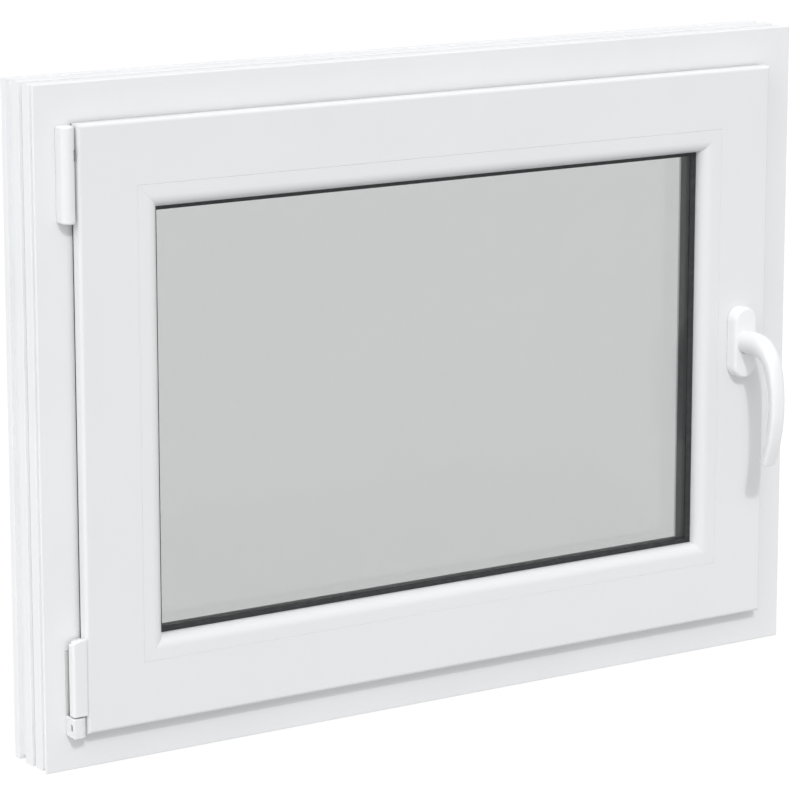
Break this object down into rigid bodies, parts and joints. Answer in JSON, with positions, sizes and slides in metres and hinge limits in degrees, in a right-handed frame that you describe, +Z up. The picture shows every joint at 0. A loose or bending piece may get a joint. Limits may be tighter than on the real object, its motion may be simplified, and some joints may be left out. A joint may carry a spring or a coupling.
{
  "type": "tilt and turn casement window",
  "caption": "White double-glazed casement window: a fixed frame, an inward tilt-and-turn sash hinged on the left, and a lever handle on the right.",
  "frame": {"origin": "middle of the frame's bottom face, halfway between its room face and its outside face", "axes": "+X to the right seen from the room, +Y from the room to the outside, +Z up"},
  "size_m": [0.8, 0.14, 0.6],
  "materials": {
    "white_upvc": "satin white uPVC, finely striated along the profile",
    "white_hinge_cover": "smooth white moulded cap",
    "white_handle_enamel": "white powder coat on cast aluminium",
    "black_gasket": "matt black sealing profile",
    "glass": "clear float glass",
    "black_spacer": "black warm-edge bar",
    "packer_plastic": "moulded packer",
    "galvanised_steel": "galvanised sheet steel",
    "plated_steel": "silver zinc plating",
    "cast_zinc": "silver plated die casting"
  },
  "bodies": {
    "frame": {"frame_profile_bottom": "white_upvc", "frame_profile_right": "white_upvc", "frame_profile_top": "white_upvc", "frame_profile_left": "white_upvc", "frame_steel_bottom": "galvanised_steel", "frame_steel_right": "galvanised_steel", "frame_steel_top": "galvanised_steel", "frame_steel_left": "galvanised_steel", "frame_gasket": "black_gasket", "stay_bearing": "cast_zinc", "stay_bearing_pin": "plated_steel", "stay_bearing_cover": "white_hinge_cover", "corner_bearing": "cast_zinc", "corner_bearing_cover": "white_hinge_cover", "striker_right_upper": "cast_zinc", "striker_right_lower": "cast_zinc", "striker_top": "cast_zinc", "striker_bottom": "cast_zinc"},
    "swivel": {"corner_swivel": "plated_steel"},
    "sash": {"sash_profile_bottom": "white_upvc", "sash_profile_right": "white_upvc", "sash_profile_top": "white_upvc", "sash_profile_left": "white_upvc", "sash_steel_bottom": "galvanised_steel", "sash_steel_right": "galvanised_steel", "sash_steel_top": "galvanised_steel", "sash_steel_left": "galvanised_steel", "glazing_bead_bottom": "white_upvc", "glazing_bead_right": "white_upvc", "glazing_bead_top": "white_upvc", "glazing_bead_left": "white_upvc", "sash_gasket": "black_gasket", "glazing_gasket_inner": "black_gasket", "glazing_gasket_outer": "black_gasket", "pane_inner": "glass", "pane_outer": "glass", "spacer_bar": "black_spacer", "setting_block_left": "packer_plastic", "setting_block_right": "packer_plastic", "corner_hinge": "cast_zinc", "corner_hinge_pin": "plated_steel", "corner_hinge_cover": "white_hinge_cover", "faceplate_right": "plated_steel", "faceplate_top": "plated_steel", "stay_rail": "plated_steel", "faceplate_bottom": "plated_steel", "corner_drive_bottom": "plated_steel", "corner_drive_top": "plated_steel", "gearbox_housing": "cast_zinc", "rosette_base": "cast_zinc", "rosette_cover": "white_handle_enamel", "handle_screw_upper": "plated_steel", "handle_screw_lower": "plated_steel"},
    "handle": {"handle_lever": "white_handle_enamel", "handle_spindle": "plated_steel", "drive_pinion": "plated_steel"},
    "right_rod": {"drive_rod_right": "plated_steel"},
    "top_rod": {"drive_rod_top": "plated_steel"},
    "bottom_rod": {"drive_rod_bottom": "plated_steel"},
    "stay": {"stay_arm": "plated_steel"}
  },
  "joints": [
    {"name": "sash_turn", "type": "hinge", "parent": "frame", "child": "swivel", "pos_m": [-0.3735, -0.039, 0.0376], "axis": [0, 0, -1], "range_deg": [0, 90]},
    {"name": "sash_tilt", "type": "hinge", "parent": "swivel", "child": "sash", "pos_m": [-0.3735, -0.039, 0.0376], "axis": [1, 0, 0], "range_deg": [0, 8]},
    {"name": "stay_swing", "type": "hinge", "parent": "swivel", "child": "stay", "pos_m": [-0.3735, -0.039, 0.54], "axis": [0, 0, -1], "range_deg": [0, 16.5]},
    {"name": "handle_turn", "type": "hinge", "parent": "sash", "child": "handle", "pos_m": [0.334, -0.03, 0.305], "axis": [0, 1, 0], "range_deg": [0, 180]},
    {"name": "right_rod_slide", "type": "slide", "parent": "sash", "child": "right_rod", "axis": [0, 0, -1], "range_m": [0, 0.0359]},
    {"name": "top_rod_slide", "type": "slide", "parent": "sash", "child": "top_rod", "axis": [1, 0, 0], "range_m": [0, 0.0359]},
    {"name": "bottom_rod_slide", "type": "slide", "parent": "sash", "child": "bottom_rod", "axis": [-1, 0, 0], "range_m": [0, 0.0359]}
  ],
  "couplings": [
    {"joint": "stay_swing", "follows": "sash_tilt", "ratio": 2.05},
    {"joint": "right_rod_slide", "follows": "handle_turn", "m_per_rad": 0.0114},
    {"joint": "top_rod_slide", "follows": "handle_turn", "m_per_rad": 0.0114},
    {"joint": "bottom_rod_slide", "follows": "handle_turn", "m_per_rad": 0.0114}
  ]
}
